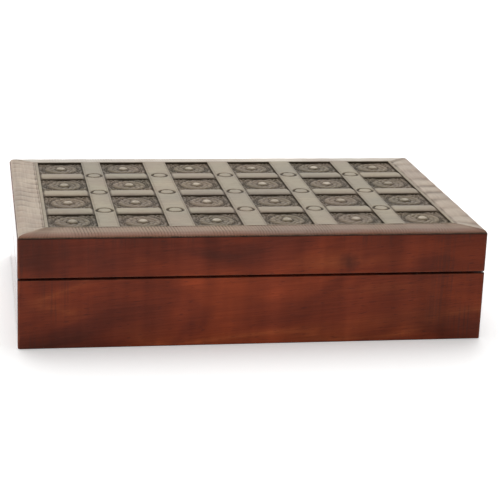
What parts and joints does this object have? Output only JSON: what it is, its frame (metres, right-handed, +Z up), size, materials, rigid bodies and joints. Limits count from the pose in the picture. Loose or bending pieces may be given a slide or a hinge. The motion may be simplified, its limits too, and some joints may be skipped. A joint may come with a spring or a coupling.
{
  "type": "mancala board",
  "caption": "Hinged wooden box with a carved lid that opens on a pit board with seeds for mancala.",
  "frame": {"origin": "centre of the box's underside, on the surface it rests on", "axes": "+X runs to the right along the front, +Y runs from the front to the hinges at the back, +Z up"},
  "size_m": [0.305, 0.2086, 0.076],
  "materials": {
    "mahogany": "red-brown mahogany stain, satin varnish",
    "carved_wood": "carved hardwood, waxed, darker in the recesses",
    "carved_border": "carved hardwood border, waxed, red-brown at the outer edge",
    "pit_wood": "oiled, polished in the pits",
    "inner_wood": "bare planed softwood",
    "brass": "aged, lightly brushed",
    "pin_steel": "drawn wire",
    "seed_stone": "tumbled and polished"
  },
  "bodies": {
    "base": {"base_front": "mahogany", "base_back": "mahogany", "base_left": "mahogany", "base_right": "mahogany", "base_floor": "inner_wood", "board_rail_front": "inner_wood", "board_rail_back": "inner_wood", "board_rail_left": "inner_wood", "board_rail_right": "inner_wood", "pit_board": "pit_wood", "hinge_base_leaf_left": "brass", "hinge_base_leaf_right": "brass", "hinge_pin_left": "pin_steel", "hinge_pin_right": "pin_steel", "base_hinge_screws": "brass"},
    "lid": {"lid_front": "mahogany", "lid_back": "mahogany", "lid_left": "mahogany", "lid_right": "mahogany", "lid_panel": "carved_wood", "lid_moulding_front": "carved_border", "lid_moulding_back": "carved_border", "lid_moulding_left": "carved_border", "lid_moulding_right": "carved_border", "hinge_lid_leaf_left": "brass", "hinge_lid_leaf_right": "brass", "lid_hinge_screws": "brass"},
    "seeds_1": {"seeds_pit_1": "seed_stone"},
    "seeds_2": {"seeds_pit_2": "seed_stone"},
    "seeds_3": {"seeds_pit_3": "seed_stone"},
    "seeds_4": {"seeds_pit_4": "seed_stone"},
    "seeds_5": {"seeds_pit_5": "seed_stone"},
    "seeds_6": {"seeds_pit_6": "seed_stone"},
    "seeds_7": {"seeds_pit_7": "seed_stone"},
    "seeds_8": {"seeds_pit_8": "seed_stone"},
    "seeds_9": {"seeds_pit_9": "seed_stone"},
    "seeds_10": {"seeds_pit_10": "seed_stone"},
    "seeds_11": {"seeds_pit_11": "seed_stone"},
    "seeds_12": {"seeds_pit_12": "seed_stone"}
  },
  "joints": [
    {"name": "lid_hinge", "type": "hinge", "parent": "base", "child": "lid", "pos_m": [0, 0.1044, 0.04645], "axis": [-1, 0, 0], "range_deg": [0, 185]},
    {"name": "lift_seeds_1", "type": "slide", "parent": "base", "child": "seeds_1", "axis": [0, 0, 1], "range_m": [0, 0.024]},
    {"name": "lift_seeds_2", "type": "slide", "parent": "base", "child": "seeds_2", "axis": [0, 0, 1], "range_m": [0, 0.024]},
    {"name": "lift_seeds_3", "type": "slide", "parent": "base", "child": "seeds_3", "axis": [0, 0, 1], "range_m": [0, 0.024]},
    {"name": "lift_seeds_4", "type": "slide", "parent": "base", "child": "seeds_4", "axis": [0, 0, 1], "range_m": [0, 0.024]},
    {"name": "lift_seeds_5", "type": "slide", "parent": "base", "child": "seeds_5", "axis": [0, 0, 1], "range_m": [0, 0.024]},
    {"name": "lift_seeds_6", "type": "slide", "parent": "base", "child": "seeds_6", "axis": [0, 0, 1], "range_m": [0, 0.024]},
    {"name": "lift_seeds_7", "type": "slide", "parent": "base", "child": "seeds_7", "axis": [0, 0, 1], "range_m": [0, 0.024]},
    {"name": "lift_seeds_8", "type": "slide", "parent": "base", "child": "seeds_8", "axis": [0, 0, 1], "range_m": [0, 0.024]},
    {"name": "lift_seeds_9", "type": "slide", "parent": "base", "child": "seeds_9", "axis": [0, 0, 1], "range_m": [0, 0.024]},
    {"name": "lift_seeds_10", "type": "slide", "parent": "base", "child": "seeds_10", "axis": [0, 0, 1], "range_m": [0, 0.024]},
    {"name": "lift_seeds_11", "type": "slide", "parent": "base", "child": "seeds_11", "axis": [0, 0, 1], "range_m": [0, 0.024]},
    {"name": "lift_seeds_12", "type": "slide", "parent": "base", "child": "seeds_12", "axis": [0, 0, 1], "range_m": [0, 0.024]}
  ]
}
